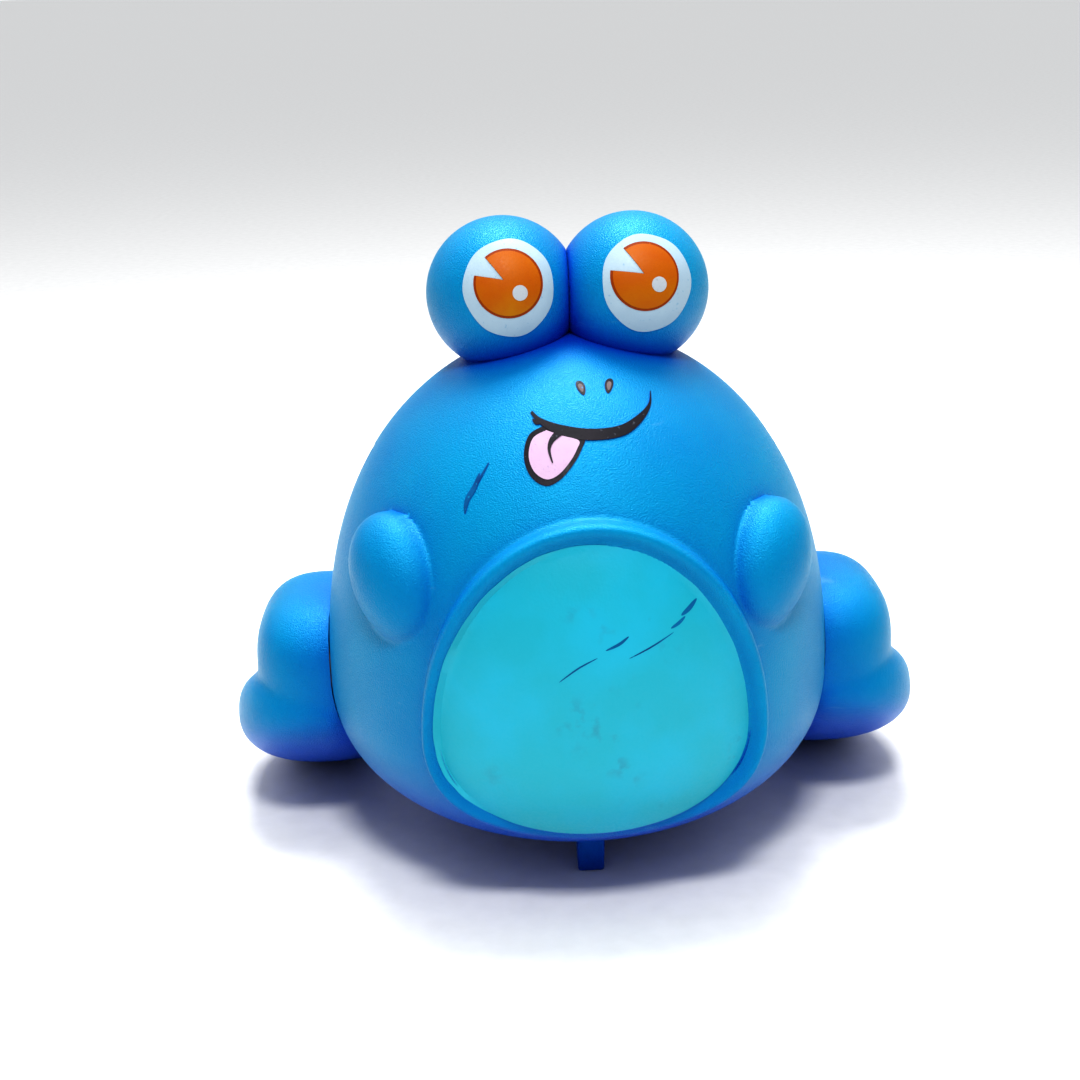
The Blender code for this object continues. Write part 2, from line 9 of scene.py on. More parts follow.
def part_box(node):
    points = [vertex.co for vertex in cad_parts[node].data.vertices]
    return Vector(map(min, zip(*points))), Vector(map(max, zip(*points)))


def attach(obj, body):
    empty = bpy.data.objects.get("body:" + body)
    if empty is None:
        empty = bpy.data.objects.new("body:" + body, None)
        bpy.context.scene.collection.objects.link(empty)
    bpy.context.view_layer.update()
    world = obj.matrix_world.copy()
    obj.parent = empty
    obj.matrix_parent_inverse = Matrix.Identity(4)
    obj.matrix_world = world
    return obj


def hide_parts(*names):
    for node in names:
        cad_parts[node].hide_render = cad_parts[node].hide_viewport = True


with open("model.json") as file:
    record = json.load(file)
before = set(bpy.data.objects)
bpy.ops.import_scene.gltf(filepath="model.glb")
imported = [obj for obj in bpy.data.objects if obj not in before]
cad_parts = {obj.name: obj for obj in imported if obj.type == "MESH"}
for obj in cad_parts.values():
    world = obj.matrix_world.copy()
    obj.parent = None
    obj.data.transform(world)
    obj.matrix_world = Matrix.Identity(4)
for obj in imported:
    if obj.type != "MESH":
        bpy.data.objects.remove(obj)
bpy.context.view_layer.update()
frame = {"nodes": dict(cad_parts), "record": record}

# Shapes are worked out in millimetres about the body's upright axis, then placed in metres.
MM = 0.001
LEG_JOINT = next(j for j in frame["record"]["behaviour"]["joints"] if j["name"] == "leg_kick")
AXIS_Y = LEG_JOINT["pos_m"][1]
SHAFT_Z = LEG_JOINT["pos_m"][2] / MM

# Egg-shaped body, as in the CAD shells.
EGG_X, EGG_Y = 20.4, 19.5
EGG_LEVEL, EGG_UP, EGG_DOWN = 15.0, 27.85, 13.2
POWER_UP, POWER_DOWN = 2.35, 2.25
SPLIT = 0.12
WALL = 1.3

# Belly panel and the rim round it: widest level, half-width, reach up and down.
BELLY_LEVEL = 15.5
BELLY = (11.6, 14.95, 8.25)
BELLY_X = 0.35
RIM = (12.15, 15.8, 8.95)
RIM_X = 0.5
RIM_HALF = 0.9
RIM_HEIGHT = 1.15

ARM_CENTRE = (14.2, 26.8)
ARM_SIZE = (3.95, 3.5, 5.35)
ARM_LEAN = math.radians(27)
ARM_YAW = math.radians(40)
ARM_SUNK = 1.0
ARM_FILLET = 0.3

EYE_RADIUS = 5.95
EYE_X = 5.05
EYE_Z = 45.85
DISC_TURN = {-1: math.radians(5.4), 1: math.radians(8.6)}
DISC_RISE = math.radians(13.6)

# Eye prints, in millimetres across and up from the middle of the disc.
DISC_SIZE = (3.41, 3.64)
DISC_LIFT = 0.04
IRIS_RADIUS = 2.58
IRIS_EDGE = 0.93            # the inner orange as a share of the dark edge
GLINT_RADIUS = 0.57
KERNEL_STEP = 0.31          # from the wedge's point into the iris, so that the iris is star-shaped about it
IRIS_CENTRE = {-1: (-0.08, 0.31), 1: (-0.23, 0.47)}
WEDGE_POINT = {-1: (-0.47, 0.55), 1: (-0.39, 0.63)}
WEDGE_FROM = {-1: math.radians(128.7), 1: math.radians(122.7)}
WEDGE_TO = {-1: math.radians(164.1), 1: math.radians(166.8)}
GLINT_CENTRE = {-1: (0.70, -0.47), 1: (0.70, -0.23)}

NOSTRIL_Z = 40.1
NOSTRIL_X = {"left": 0.42, "right": 2.5}
NOSTRIL_LEAN = {"left": 0.35, "right": -0.25}
PEG_X, PEG_Y = 0.3, -7.7
PEG_SIZE = (2.1, 2.6, 5.0)
PEG_FLARE = 1.12            # how much wider the peg is at its top

# Legs: centre, half-sizes and squareness of the two rounded forms.
HAUNCH = ((20.9, 5.9, 14.1), (6.2, 8.2, 6.4), 2.9)
FOOT = ((22.4, 9.0, 7.4), (7.1, 12.4, 4.5), 2.5)
FOOT_TILT = math.radians(27)
LEG_INNER_X = 15.6
LEG_VOXEL = 0.32
LEG_CLEARANCE = 0.12
SWING_CLEARANCE = 0.06
LEG_SWING = math.radians(LEG_JOINT["range_deg"][1])
LEG_STEPS = 4
FAR = 60                    # beyond the whole toy

# Screw recesses in the rear, and the hole for the winding arbor.
RECESS_RADIUS = 1.9
CUP_RADIUS = 2.6
SCREW_ROOM = 0.9
HEAD_DEPTH = 1.6
SEAT_DEPTH = 1.8
SEAT_THICKNESS = 0.7
ARBOR_ROOM = 1.3

# Light from the tent's open front, its top and its back.
SKY_FRONT, SKY_TOP, SKY_BACK = 0.02, 0.84, 0.30
SKY_SEEN = 0.75             # how pale the backdrop looks to the camera

# Softboxes: place and size in metres, power in watts.
TOP_SOFTBOX = ((0.0, 0.06, 0.30), (0.14, 0.10), 0.74)
FRONT_SOFTBOX = ((0.0, -0.17, 0.26), (0.06, 0.045), 0.46)
LIGHT_TARGET = (0, 0, 0.03)

FLOOR_REACH = 20            # metres, so that no edge shows in any view
CAMERA_DOWN = math.radians(18.0)
CAMERA_TURN = math.radians(1.4)
CAMERA_ROLL = math.radians(-1.9)
CAMERA_LENS = 57.83
CAMERA_PLACE = (-0.00606, AXIS_Y - 0.13449, 0.0692)

# Colours, linear.
BLUE = (0.0005, 0.215, 0.405)
BLUE_DEEP = (0.0005, 0.17, 0.38)
# Painted shade: the darker blue that ambient occlusion blends in at creases, gaps and the underside.
BLUE_PAINTED_SHADE = (0.0003, 0.04, 0.42)
TURQUOISE = (0.0005, 0.33, 0.43)
TURQUOISE_PALE = (0.006, 0.36, 0.45)
EYE_WHITE = (0.34, 0.44, 0.51)
ORANGE = (0.38, 0.10, 0.001)
ORANGE_STREAK = (0.36, 0.075, 0.001)
ORANGE_DARK = (0.22, 0.036, 0.001)
AMBER = (0.38, 0.17, 0.002)
PINK = (0.46, 0.33, 0.45)
INK = (0.012, 0.010, 0.016)
NOSTRIL = (0.16, 0.12, 0.12)


# ---------------------------------------------------------------- materials

def node_material(name):
    material = bpy.data.materials.new(name)
    material.use_nodes = True
    tree = material.node_tree
    return material, tree, tree.nodes["Principled BSDF"]


def noise(tree, scale, detail=3.0, stretch=(1, 1, 1), seed=0.0):
    """Noise over the object's own coordinates, in metres."""
    place = tree.nodes.new("ShaderNodeTexCoord")
    mapping = tree.nodes.new("ShaderNodeMapping")
    mapping.inputs["Scale"].default_value = stretch
    mapping.inputs["Location"].default_value = (seed, seed * 0.7, -seed)
    texture = tree.nodes.new("ShaderNodeTexNoise")
    texture.inputs["Scale"].default_value = scale
    texture.inputs["Detail"].default_value = detail
    tree.links.new(place.outputs["Object"], mapping.inputs["Vector"])
    tree.links.new(mapping.outputs["Vector"], texture.inputs["Vector"])
    return texture.outputs["Fac"]


def ranged(tree, value, low, high, out_low=0.0, out_high=1.0):
    node = tree.nodes.new("ShaderNodeMapRange")
    for name, number in (("From Min", low), ("From Max", high), ("To Min", out_low), ("To Max", out_high)):
        node.inputs[name].default_value = number
    tree.links.new(value, node.inputs["Value"])
    return node.outputs["Result"]


def blend(tree, factor, first, second):
    node = tree.nodes.new("ShaderNodeMix")
    node.data_type = "RGBA"
    tree.links.new(factor, node.inputs["Factor"])
    for socket, value in ((node.inputs[6], first), (node.inputs[7], second)):
        if isinstance(value, tuple):
            socket.default_value = (*value, 1.0)
        else:
            tree.links.new(value, socket)
    return node.outputs[2]


def multiply(tree, first, second):
    node = tree.nodes.new("ShaderNodeMath")
    node.operation = "MULTIPLY"
    tree.links.new(first, node.inputs[0])
    tree.links.new(second, node.inputs[1])
    return node.outputs["Value"]


def bump(tree, shader, heights):
    """Chain of bump nodes from (height, strength, distance in metres)."""
    before = None
    for height, strength, distance in heights:
        node = tree.nodes.new("ShaderNodeBump")
        node.inputs["Strength"].default_value = strength
        node.inputs["Distance"].default_value = distance
        tree.links.new(height, node.inputs["Height"])
        if before is not None:
            tree.links.new(before, node.inputs["Normal"])
        before = node.outputs["Normal"]
    tree.links.new(before, shader.inputs["Normal"])


def moulded_plastic(name, colour, deep, crease, rough=(0.28, 0.46), seed=0.0, scatter=0.12):
    """Satin moulding with a spark-eroded grain, painted shade in its creases, between parts and low down near
    the floor, and rubbed marks.
    """
    material, tree, shader = node_material(name)
    blotch = ranged(tree, noise(tree, 90, 4, seed=seed), 0.35, 0.68)
    tint = blend(tree, blotch, colour, deep)
    # Painted shade: ambient occlusion blends the colour towards the crease colour in creases, between parts
    # and near the floor.
    occlusion_shade = tree.nodes.new("ShaderNodeAmbientOcclusion")
    occlusion_shade.samples = 6
    occlusion_shade.inputs["Distance"].default_value = 0.016
    tint = blend(tree, ranged(tree, occlusion_shade.outputs["AO"], 0.35, 0.92), crease, tint)
    rub = multiply(tree, ranged(tree, noise(tree, 260, 6, (1, 1, 5), seed + 3), 0.66, 0.74),
                   ranged(tree, noise(tree, 70, 2, seed=seed + 7), 0.5, 0.62))
    pale = tuple(0.75 * c + 0.2 for c in colour)
    rubbed = blend(tree, ranged(tree, rub, 0, 1, 0, 0.3), tint, pale)
    tree.links.new(rubbed, shader.inputs["Base Color"])
    grain = noise(tree, 8500, 2, seed=seed + 1)
    coarse = noise(tree, 2600, 2, seed=seed + 2)
    tree.links.new(ranged(tree, grain, 0.3, 0.7, *rough), shader.inputs["Roughness"])
    bump(tree, shader, ((grain, 1.0, 0.00006), (coarse, 0.12, 0.00005)))
    shader.inputs["Specular IOR Level"].default_value = 0.7
    shader.inputs["Specular Tint"].default_value = (0.1, 0.72, 1.0, 1.0)
    shader.inputs["Subsurface Weight"].default_value = scatter
    shader.inputs["Subsurface Radius"].default_value = (0.3, 0.9, 1.6)
    shader.inputs["Subsurface Scale"].default_value = 0.001
    shader.inputs["Sheen Weight"].default_value = 0.06
    shader.inputs["Sheen Roughness"].default_value = 0.25
    shader.inputs["Sheen Tint"].default_value = (0.02, 0.7, 1.0, 1.0)
    return material


def print_ink(name, colour, second, speck, seed, rough=0.45):
    """Pad-printed ink: thin, slightly uneven, with specks where it missed the grain."""
    material, tree, shader = node_material(name)
    cloud = ranged(tree, noise(tree, 420, 4, seed=seed), 0.35, 0.68)
    tint = blend(tree, cloud, colour, second)
    missed = ranged(tree, noise(tree, 3600, 2, seed=seed + 5), 0.66, 0.73)
    tree.links.new(blend(tree, missed, tint, speck), shader.inputs["Base Color"])
    grain = noise(tree, 4800, 2, seed=seed + 1)
    tree.links.new(ranged(tree, grain, 0.3, 0.7, rough - 0.08, rough + 0.1), shader.inputs["Roughness"])
    bump(tree, shader, ((grain, 0.35, 0.00003), (cloud, 0.1, 0.00003)))
    shader.inputs["Specular IOR Level"].default_value = 0.15
    return material


def iris_ink():
    """Orange ink that thins to amber in the lower part of the iris."""
    material, tree, shader = node_material("iris_orange_ink")
    place = tree.nodes.new("ShaderNodeTexCoord")
    split = tree.nodes.new("ShaderNodeSeparateXYZ")
    tree.links.new(place.outputs["Object"], split.inputs["Vector"])
    height = ranged(tree, split.outputs["Z"], 0.0445, 0.0475)
    streak = ranged(tree, noise(tree, 520, 4, seed=5), 0.35, 0.65, 0, 0.6)
    tint = blend(tree, height, AMBER, ORANGE)
    tree.links.new(blend(tree, streak, tint, ORANGE_STREAK), shader.inputs["Base Color"])
    grain = noise(tree, 4800, 2, seed=15)
    tree.links.new(ranged(tree, grain, 0.3, 0.7, 0.4, 0.55), shader.inputs["Roughness"])
    bump(tree, shader, ((grain, 0.35, 0.00003),))
    shader.inputs["Specular IOR Level"].default_value = 0.15
    return material


def belly_paint():
    """Turquoise spray: greener low down, with grey scuffs that cross the middle."""
    material, tree, shader = node_material("belly_paint")
    place = tree.nodes.new("ShaderNodeTexCoord")
    split = tree.nodes.new("ShaderNodeSeparateXYZ")
    tree.links.new(place.outputs["Object"], split.inputs["Vector"])
    height = ranged(tree, split.outputs["Z"], 0.007, 0.030)
    tint = blend(tree, height, TURQUOISE_PALE, TURQUOISE)
    cloud = ranged(tree, noise(tree, 160, 5, seed=4), 0.4, 0.7, 0, 0.35)
    tint = blend(tree, cloud, tint, (0.001, 0.42, 0.66))
    scuff = multiply(tree, ranged(tree, noise(tree, 700, 6, seed=9), 0.55, 0.68),
                     ranged(tree, noise(tree, 130, 3, seed=2.3), 0.55, 0.68))
    tint = blend(tree, ranged(tree, scuff, 0, 1, 0, 0.35), tint, (0.03, 0.10, 0.16))
    tree.links.new(tint, shader.inputs["Base Color"])
    grain = noise(tree, 4600, 2, seed=6)
    tree.links.new(ranged(tree, grain, 0.3, 0.7, 0.42, 0.58), shader.inputs["Roughness"])
    bump(tree, shader, ((grain, 0.4, 0.00003), (noise(tree, 900, 3, seed=8), 0.15, 0.00004)))
    return material


def metal(name, colour, dark, rough, stretch, seed):
    """Rolled or turned metal: fine lines one way, dull stains and small pits."""
    material, tree, shader = node_material(name)
    lines = noise(tree, 2600, 3, stretch, seed)
    stain = ranged(tree, noise(tree, 300, 5, seed=seed + 2), 0.4, 0.7)
    tree.links.new(blend(tree, stain, colour, dark), shader.inputs["Base Color"])
    tree.links.new(ranged(tree, lines, 0.3, 0.7, rough - 0.1, rough + 0.14), shader.inputs["Roughness"])
    bump(tree, shader, ((lines, 0.3, 0.00002), (noise(tree, 1500, 2, seed=seed + 4), 0.15, 0.00003)))
    shader.inputs["Metallic"].default_value = 1.0
    return material


# ---------------------------------------------------------------- mesh helpers

def mesh_piece(name, points, faces, material, body, smooth=True):
    """A piece from points in millimetres about the body axis, riding on a CAD body."""
    mesh = bpy.data.meshes.new(name)
    mesh.from_pydata([(x * MM, y * MM + AXIS_Y, z * MM) for x, y, z in points], [], faces)
    mesh.validate()
    item = bpy.data.objects.new(name, mesh)
    bpy.context.scene.collection.objects.link(item)
    bm = bmesh.new()
    bm.from_mesh(mesh)
    bmesh.ops.recalc_face_normals(bm, faces=bm.faces)
    bm.to_mesh(mesh)
    bm.free()
    if smooth:
        mesh.shade_smooth()
    mesh.materials.append(material)
    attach(item, body)
    return item


def grid_faces(rows, columns, wrap):
    faces = []
    for row in range(rows - 1):
        for column in range(columns if wrap else columns - 1):
            after = (column + 1) % columns
            a = row * columns
            b = a + columns
            faces.append((a + column, a + after, b + after, b + column))
    return faces


def capped_faces(rows, columns):
    """Faces of a stack of rings that is closed by a flat face at each end."""
    ends = [tuple(reversed(range(columns))), tuple(range((rows - 1) * columns, rows * columns))]
    return grid_faces(rows, columns, True) + ends


def apply_modifiers(item):
    depsgraph = bpy.context.evaluated_depsgraph_get()
    mesh = bpy.data.meshes.new_from_object(item.evaluated_get(depsgraph))
    item.modifiers.clear()
    item.data = mesh


def thicken(item, depth):
    """Give an open skin a wall that grows inward, or a print a film that grows outward."""
    wall = item.modifiers.new("wall", "SOLIDIFY")
    wall.thickness = abs(depth) * MM
    wall.offset = -1 if depth > 0 else 1
    wall.use_even_offset = False
    apply_modifiers(item)


def cut_away(item, tool):
    """Cut the tool's shape out of a piece."""
    modifier = item.modifiers.new("cut", "BOOLEAN")
    modifier.operation = "DIFFERENCE"
    modifier.object = tool
    apply_modifiers(item)
    bpy.data.objects.remove(tool, do_unlink=True)


def smoothstep(low, high, value):
    share = min(max((value - low) / (high - low), 0.0), 1.0)
    return share * share * (3 - 2 * share)


def curve_through(points, steps):
    """Points of a smooth curve through the given ones."""
    ends = [points[0]] + list(points) + [points[-1]]
    result = []
    for k in range(1, len(ends) - 2):
        p0, p1, p2, p3 = ends[k - 1:k + 3]
        for step in range(steps):
            t = step / steps
            result.append(tuple(
                0.5 * (2 * b + (c - a) * t + (2 * a - 5 * b + 4 * c - d) * t * t
                       + (3 * b - a - 3 * c + d) * t ** 3)
                for a, b, c, d in zip(p0, p1, p2, p3)))
    result.append(tuple(points[-1]))
    return result


# ---------------------------------------------------------------- body surface

def egg_parts(z):
    if z > EGG_LEVEL:
        return EGG_UP, POWER_UP, 1
    return EGG_DOWN, POWER_DOWN, -1


def egg_normal(x, y, z):
    reach, power, sign = egg_parts(z)
    share = abs(z - EGG_LEVEL) / reach
    slope = sign * power * share ** (power - 1) / (2 * reach)
    return Vector((x / EGG_X ** 2, y / EGG_Y ** 2, slope)).normalized()


def loop_distance(x, z, loop):
    """Signed distance from a two-part oval round the belly, negative inside."""
    width, up, down = loop
    reach = up if z > BELLY_LEVEL else down
    u = x / width
    v = (z - BELLY_LEVEL) / reach
    size = math.hypot(u, v)
    if size < 1e-6:
        return -min(width, reach)
    steep = math.hypot(u / width, v / reach) / size
    return (size - 1) / steep


def rim_relief(x, z):
    """Bead round the belly that dies away towards the bottom."""
    fade = smoothstep(-9.6, -3.0, z - BELLY_LEVEL)
    half = RIM_HALF * (0.65 + 0.35 * smoothstep(-6.0, 13.0, z - BELLY_LEVEL))
    share = loop_distance(x - RIM_X, z, RIM) / half
    if abs(share) >= 1:
        return 0.0
    return RIM_HEIGHT * (0.15 + 0.85 * fade) * (1 - share * share) ** 1.5


def arm_frame(side):
    """Centre of an arm and the turn from the body's axes into the arm's own."""
    x, z = side * ARM_CENTRE[0], ARM_CENTRE[1]
    y = bare_front_y(x, z)
    centre = Vector((x, y, z)) - egg_normal(x, y, z) * ARM_SUNK
    turn = Matrix.Rotation(side * ARM_YAW, 3, "Z") @ Matrix.Rotation(side * ARM_LEAN, 3, "Y")
    return centre, turn.transposed()


def arm_relief(point, normal, centre, turn):
    """How far along the normal an arm's outer face lies, or a negative number well below the skin."""
    start = turn @ (point - centre)
    ray = turn @ normal
    p = [start[k] / ARM_SIZE[k] for k in range(3)]
    d = [ray[k] / ARM_SIZE[k] for k in range(3)]
    a = sum(v * v for v in d)
    b = sum(u * v for u, v in zip(p, d))
    c = sum(v * v for v in p) - 1
    inside = b * b - a * c
    return (-b + math.sqrt(inside)) / a if inside > 0 else -ARM_FILLET


def soft_max(first, second, width):
    overlap = max(width - abs(first - second), 0.0)
    return max(first, second) + overlap * overlap / (4 * width)


def relief(x, y, z):
    if y > -1.0:
        return 0.0
    point = Vector((x, y, z))
    centre, turn = ARM_FRAMES[1 if x > 0 else -1]
    height = rim_relief(x, z)
    if (point - centre).length > 2 * ARM_SIZE[2]:
        return height
    arm = arm_relief(point, egg_normal(x, y, z), centre, turn)
    return soft_max(height, arm, ARM_FILLET) if arm > height - ARM_FILLET else height


def bare_front_y(x, z):
    reach, power, _ = egg_parts(z)
    rest = 1 - (x / EGG_X) ** 2 - (abs(z - EGG_LEVEL) / reach) ** power
    return -EGG_Y * math.sqrt(max(rest, 0.0))


ARM_FRAMES = {side: arm_frame(side) for side in (-1, 1)}


def front_point(x, z, lift=0.0):
    """Place on the relieved front surface behind (x, z) as seen from the front."""
    y = bare_front_y(x, z)
    normal = egg_normal(x, y, z)
    point = Vector((x, y, z)) + normal * (relief(x, y, z) + lift)
    return tuple(point)


def half_skin(name, front, columns, rows, material):
    """One half of the body wall, from the split plane round to the split plane."""
    points = []
    for row in range(rows):
        slope = math.pi * (row / (rows - 1) - 0.5) * 0.997
        reach, power, sign = (EGG_UP, POWER_UP, 1) if slope > 0 else (EGG_DOWN, POWER_DOWN, -1)
        z = EGG_LEVEL + sign * reach * abs(math.sin(slope)) ** (2 / power)
        for column in range(columns):
            turn = math.pi * (column / (columns - 1) - 0.5)
            x = EGG_X * math.cos(slope) * math.sin(turn)
            y = EGG_Y * math.cos(slope) * math.cos(turn)
            if front:
                y = -y
                normal = egg_normal(x, y, z)
                x, y, z_out = Vector((x, y, z)) + normal * relief(x, y, z)
                points.append((x, min(y, -SPLIT), z_out))
            else:
                points.append((x, max(y, SPLIT), z))
    skin = mesh_piece(name, points, grid_faces(rows, columns, False), material, "body")
    flip_outward(skin)
    thicken(skin, WALL)
    return skin


def flip_outward(item):
    """Turn an open skin's faces away from the body's middle."""
    mesh = item.data
    middle = Vector((0, AXIS_Y, EGG_LEVEL * MM))
    face = mesh.polygons[len(mesh.polygons) // 2]
    if face.normal.dot(face.center - middle) < 0:
        mesh.flip_normals()


# ---------------------------------------------------------------- prints

def between(start, end, share, share_up=None):
    """The point a share of the way from one flat point to another; the share may differ upwards."""
    share_up = share if share_up is None else share_up
    return start[0] + (end[0] - start[0]) * share, start[1] + (end[1] - start[1]) * share_up


def radial_print(name, outline, kernel, place, material, rings=10, film=0.02):
    """A thin film that fills a flat outline, star-shaped about its kernel, laid on a surface."""
    points = [place(*kernel)]
    count = len(outline)
    for ring in range(1, rings + 1):
        share = ring / rings
        for u, v in outline:
            points.append(place(*between(kernel, (u, v), share)))
    faces = [(0, 1 + k, 1 + (k + 1) % count) for k in range(count)]
    for ring in range(rings - 1):
        a = 1 + ring * count
        b = a + count
        faces += [(a + k, b + k, b + (k + 1) % count, a + (k + 1) % count) for k in range(count)]
    item = mesh_piece(name, points, faces, material, "body")
    flip_outward(item)
    thicken(item, -film)
    item.data.set_sharp_from_angle(angle=math.radians(35))
    return item


def stroke_print(name, path, width, place, material, film=0.02):
    """A thin film along a path, whose half-width follows a function of its run from 0 to 1."""
    across = (-1, -0.5, 0, 0.5, 1)
    points = []
    last = len(path) - 1
    for index, (u, v) in enumerate(path):
        ahead = path[min(index + 1, last)]
        behind = path[max(index - 1, 0)]
        du, dv = ahead[0] - behind[0], ahead[1] - behind[1]
        size = math.hypot(du, dv)
        half = max(width(index / last), 0.01)
        for share in across:
            points.append(place(u - dv / size * half * share, v + du / size * half * share))
    faces = grid_faces(len(path), len(across), False)
    item = mesh_piece(name, points, faces, material, "body")
    flip_outward(item)
    thicken(item, -film)
    item.data.set_sharp_from_angle(angle=math.radians(35))
    return item


def on_body(lift):
    return lambda x, z: front_point(x, z, lift)


def oval_loop(loop, count, wobble=0.0, centre_x=0.0):
    width, up, down = loop
    outline = []
    for k in range(count):
        turn = 2 * math.pi * k / count
        reach = up if math.sin(turn) > 0 else down
        waves = math.sin(7 * turn + 1) + 0.6 * math.sin(17 * turn) + 0.4 * math.sin(31 * turn)
        ragged = 1 + wobble * waves
        outline.append((centre_x + ragged * width * math.cos(turn),
                        BELLY_LEVEL + ragged * reach * math.sin(turn)))
    return outline


def make_belly():
    outline = oval_loop(BELLY, 220, 0.0012, BELLY_X)
    radial_print("belly_print", outline, (BELLY_X, BELLY_LEVEL + 1), on_body(0.02), belly_paint(), rings=44)


def make_mouth(ink, pink):
    smile = curve_through([(-3.35, 38.75), (-2.75, 38.25), (-1.5, 37.75), (0.0, 37.45), (1.7, 37.35),
                           (3.3, 37.5), (4.55, 38.05), (5.4, 38.75), (5.6, 39.5)], 8)

    def smile_width(run):
        full = smoothstep(0.0, 0.35, run) * smoothstep(1.0, 0.62, run)
        return 0.03 + 0.27 * full + 0.07 * (1 - run)

    stroke_print("mouth_print", smile, smile_width, on_body(0.06), ink)
    tick = curve_through([(-3.3, 38.35), (-3.05, 38.15), (-2.75, 38.1)], 6)
    stroke_print("mouth_tick_print", tick, lambda run: 0.1 * math.sin(math.pi * run) + 0.015,
                 on_body(0.05), ink)
    tongue = curve_through([(-2.4, 38.0), (-1.1, 37.6), (0.35, 37.2), (0.15, 36.55), (-0.45, 35.7),
                            (-1.5, 34.7), (-2.6, 34.3), (-3.65, 34.9), (-4.05, 36.1), (-3.6, 37.4),
                            (-2.4, 38.0)], 8)[:-1]
    middle = (-1.95, 36.35)
    radial_print("tongue_outline_print", tongue, middle, on_body(0.03), ink, rings=12)
    inner = [between(middle, point, 0.83, 0.81) for point in tongue]
    radial_print("tongue_print", inner, middle, on_body(0.07), pink, rings=10)
    crease = curve_through([(-1.3, 37.6), (-1.95, 37.1), (-2.2, 36.5), (-2.0, 35.7)], 8)
    stroke_print("tongue_crease_print", crease, lambda run: 0.2 * (1 - run) + 0.04, on_body(0.12), ink)


def make_nostrils(ink, fill):
    for side, x in NOSTRIL_X.items():
        outline = []
        lean = NOSTRIL_LEAN[side]
        for k in range(28):
            turn = 2 * math.pi * k / 28
            narrow = 0.31 + 0.1 * math.sin(turn)
            dz = 0.4 * math.sin(turn)
            outline.append((x + narrow * math.cos(turn) - lean * dz, NOSTRIL_Z + dz))
        radial_print(f"{side}_nostril_edge_print", outline, (x, NOSTRIL_Z), on_body(0.03), ink, rings=4)
        inner = [between((x, NOSTRIL_Z), point, 0.55, 0.6) for point in outline]
        radial_print(f"{side}_nostril_print", inner, (x, NOSTRIL_Z), on_body(0.045), fill, rings=3)


def make_scratches(ink):
    """Thin rubbed lines: name, route and half-width at the widest."""
    marks = (
        ("cheek_scratch", [(-6.6, 35.6), (-7.2, 34.7), (-7.7, 33.9)], 0.06),
        ("cheek_scratch_low", [(-7.3, 34.9), (-7.7, 34.0), (-8.3, 33.1), (-8.5, 32.2)], 0.16),
        ("belly_scratch_upper", [(8.0, 26.0), (7.4, 25.4), (6.8, 25.0)], 0.17),
        ("belly_scratch_side", [(7.1, 24.9), (6.6, 24.5), (6.0, 24.2)], 0.12),
        ("belly_scratch_long", [(6.2, 23.9), (4.6, 23.1), (2.9, 22.4)], 0.05),
        ("belly_scratch_middle", [(2.9, 24.0), (2.2, 23.5), (1.2, 23.1)], 0.10),
        ("belly_scratch_low", [(0.6, 22.6), (-0.8, 21.9), (-2.2, 20.9)], 0.05),
    )
    for name, route, widest in marks:
        path = curve_through(route, 8)

        def width(run, widest=widest):
            return widest * math.sin(math.pi * run) ** 0.7 + 0.01

        stroke_print(name, path, width, on_body(0.035), ink, film=0.012)


# ---------------------------------------------------------------- eyes

def on_eye(side, lift):
    """Maps millimetres across and up the disc to a place on the ball."""
    turn = DISC_TURN[side]
    right = Vector((math.cos(turn), math.sin(turn), 0))
    forward = Vector((math.sin(turn) * math.cos(DISC_RISE), -math.cos(turn) * math.cos(DISC_RISE),
                      math.sin(DISC_RISE)))
    up = right.cross(-forward)
    centre = Vector((side * EYE_X, 0, EYE_Z))

    def place(u, v):
        a, b = u / EYE_RADIUS, v / EYE_RADIUS
        depth = math.sqrt(max(1 - a * a - b * b, 0.0))
        return tuple(centre + (forward * depth + right * a + up * b) * (EYE_RADIUS + lift))
    return place


def make_ball(side, name, material):
    """Eye ball, pressed flat where it meets the other one."""
    points = []
    rows, columns = 72, 96
    for row in range(rows):
        slope = math.pi * (row / (rows - 1) - 0.5) * 0.998
        for column in range(columns):
            turn = 2 * math.pi * column / columns
            x = side * EYE_X + EYE_RADIUS * math.cos(slope) * math.cos(turn)
            y = EYE_RADIUS * math.cos(slope) * math.sin(turn)
            z = EYE_Z + EYE_RADIUS * math.sin(slope)
            x = max(x, 0.02) if side > 0 else min(x, -0.02)
            points.append((x, y, z))
    faces = capped_faces(rows, columns)
    ball = mesh_piece(f"{name}_ball", points, faces, material, "body")
    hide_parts(name)


def disc_outline(phase):
    outline = []
    for k in range(96):
        turn = 2 * math.pi * k / 96
        ragged = 1 + 0.012 * math.sin(3 * turn + phase) + 0.008 * math.sin(7 * turn + 2 * phase)
        outline.append((DISC_SIZE[0] * ragged * math.cos(turn),
                        DISC_SIZE[1] * ragged * math.sin(turn) + DISC_LIFT))
    return outline


def iris_outline(side):
    """A disc with a wedge taken out towards the upper left."""
    centre, point = IRIS_CENTRE[side], WEDGE_POINT[side]
    start = WEDGE_FROM[side]
    end = WEDGE_TO[side] - 2 * math.pi
    arc_steps, edge_steps = 72, 9
    outline = []
    for k in range(arc_steps + 1):
        turn = start + (end - start) * k / arc_steps
        outline.append((centre[0] + IRIS_RADIUS * math.cos(turn), centre[1] + IRIS_RADIUS * math.sin(turn)))
    first, last = outline[0], outline[-1]
    outline += [between(last, point, k / edge_steps) for k in range(1, edge_steps)]
    outline.append(point)
    outline += [between(point, first, k / edge_steps) for k in range(1, edge_steps)]
    return outline


